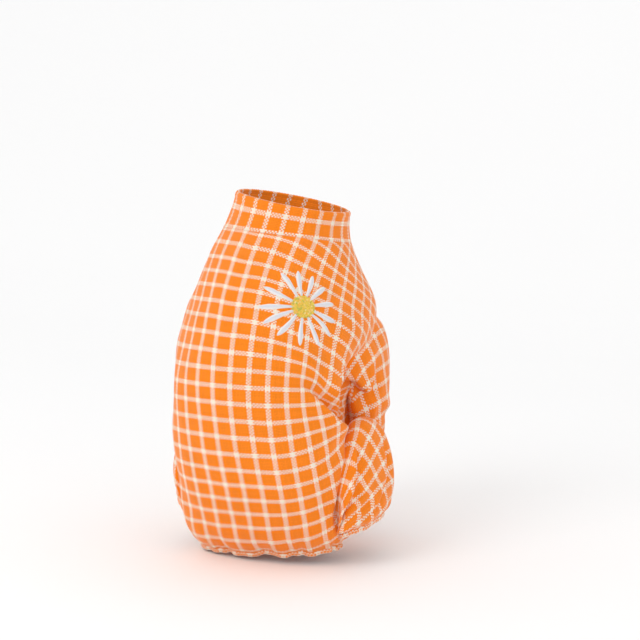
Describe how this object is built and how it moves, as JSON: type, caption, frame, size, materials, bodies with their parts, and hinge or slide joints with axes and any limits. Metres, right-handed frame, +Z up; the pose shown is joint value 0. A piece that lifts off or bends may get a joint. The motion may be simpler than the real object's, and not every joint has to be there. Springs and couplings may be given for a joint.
{
  "type": "dog jumpsuit",
  "caption": "Four-legged jumpsuit for a small dog in check cotton, shaped as on a sitting wearer, with a stand collar, gathered hems and an embroidered daisy on the back.",
  "frame": {"origin": "middle of the neck seam, the ring where the collar meets the body, which sits round the wearer's neck", "axes": "+Z up along the sitting wearer's back towards the head, -Y the way the wearer faces, +X the wearer's left"},
  "size_m": [0.1486, 0.1576, 0.2381],
  "materials": {
    "check_cotton": "woven cotton, orange and white windowpane check",
    "hem_cotton": "the same cotton, turned and gathered over elastic",
    "white_thread": "satin stitch in white thread",
    "yellow_thread": "filling stitch in yellow thread"
  },
  "bodies": {
    "root": {"body": "check_cotton", "collar": "check_cotton", "belly_placket": "check_cotton", "sleeve_left": "check_cotton", "sleeve_right": "check_cotton", "leg_left": "check_cotton", "leg_right": "check_cotton", "seat_hem": "hem_cotton", "sleeve_left_hem": "hem_cotton", "sleeve_right_hem": "hem_cotton", "leg_left_hem": "hem_cotton", "leg_right_hem": "hem_cotton", "daisy_centre": "yellow_thread", "daisy_petal_01": "white_thread", "daisy_petal_02": "white_thread", "daisy_petal_03": "white_thread", "daisy_petal_04": "white_thread", "daisy_petal_05": "white_thread", "daisy_petal_06": "white_thread", "daisy_petal_07": "white_thread", "daisy_petal_08": "white_thread", "daisy_petal_09": "white_thread", "daisy_petal_10": "white_thread", "daisy_petal_11": "white_thread", "daisy_petal_12": "white_thread", "daisy_petal_13": "white_thread"}
  },
  "joints": []
}
